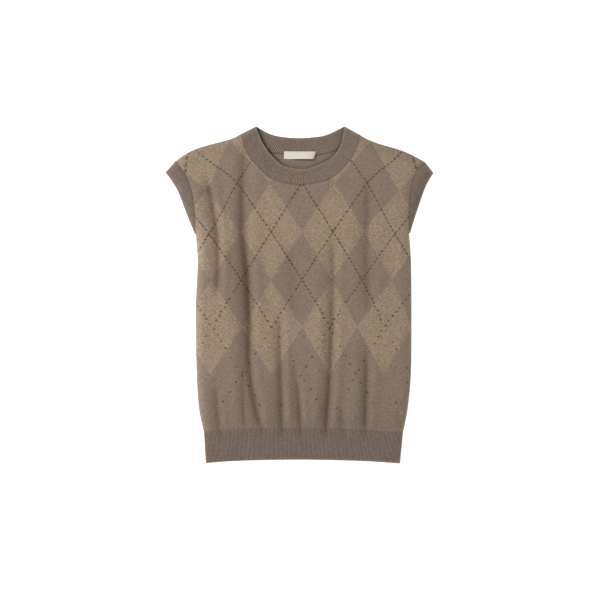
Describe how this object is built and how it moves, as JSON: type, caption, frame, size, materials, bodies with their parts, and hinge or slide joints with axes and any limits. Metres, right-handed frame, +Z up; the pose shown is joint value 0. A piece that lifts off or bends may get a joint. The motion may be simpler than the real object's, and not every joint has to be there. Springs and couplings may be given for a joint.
{
  "type": "knitted sweater vest",
  "caption": "Sleeveless crew-neck knitted vest laid flat and face up, with ribbed neckband, armhole bands and hem, and soft folds down its front.",
  "frame": {"origin": "on the surface that the vest lies on, under the middle of its outline", "axes": "+X across the body to the right as seen from above with the neck at the far end, +Y from the hem to the neck, +Z up from the surface"},
  "size_m": [0.5102, 0.6416, 0.0142],
  "materials": {
    "body_knit": "fine plain-knit wool, matt and slightly fuzzy",
    "rib_knit": "fine ribbed wool knit, matt",
    "label_tape": "woven cream tape, faint satin"
  },
  "bodies": {
    "root": {"body_front": "body_knit", "body_back": "body_knit", "hem_rib_front": "rib_knit", "hem_rib_back": "rib_knit", "neckband_front": "rib_knit", "neckband_back": "rib_knit", "armhole_band_left_front": "rib_knit", "armhole_band_left_back": "rib_knit", "armhole_band_right_front": "rib_knit", "armhole_band_right_back": "rib_knit", "label": "label_tape"}
  },
  "joints": []
}
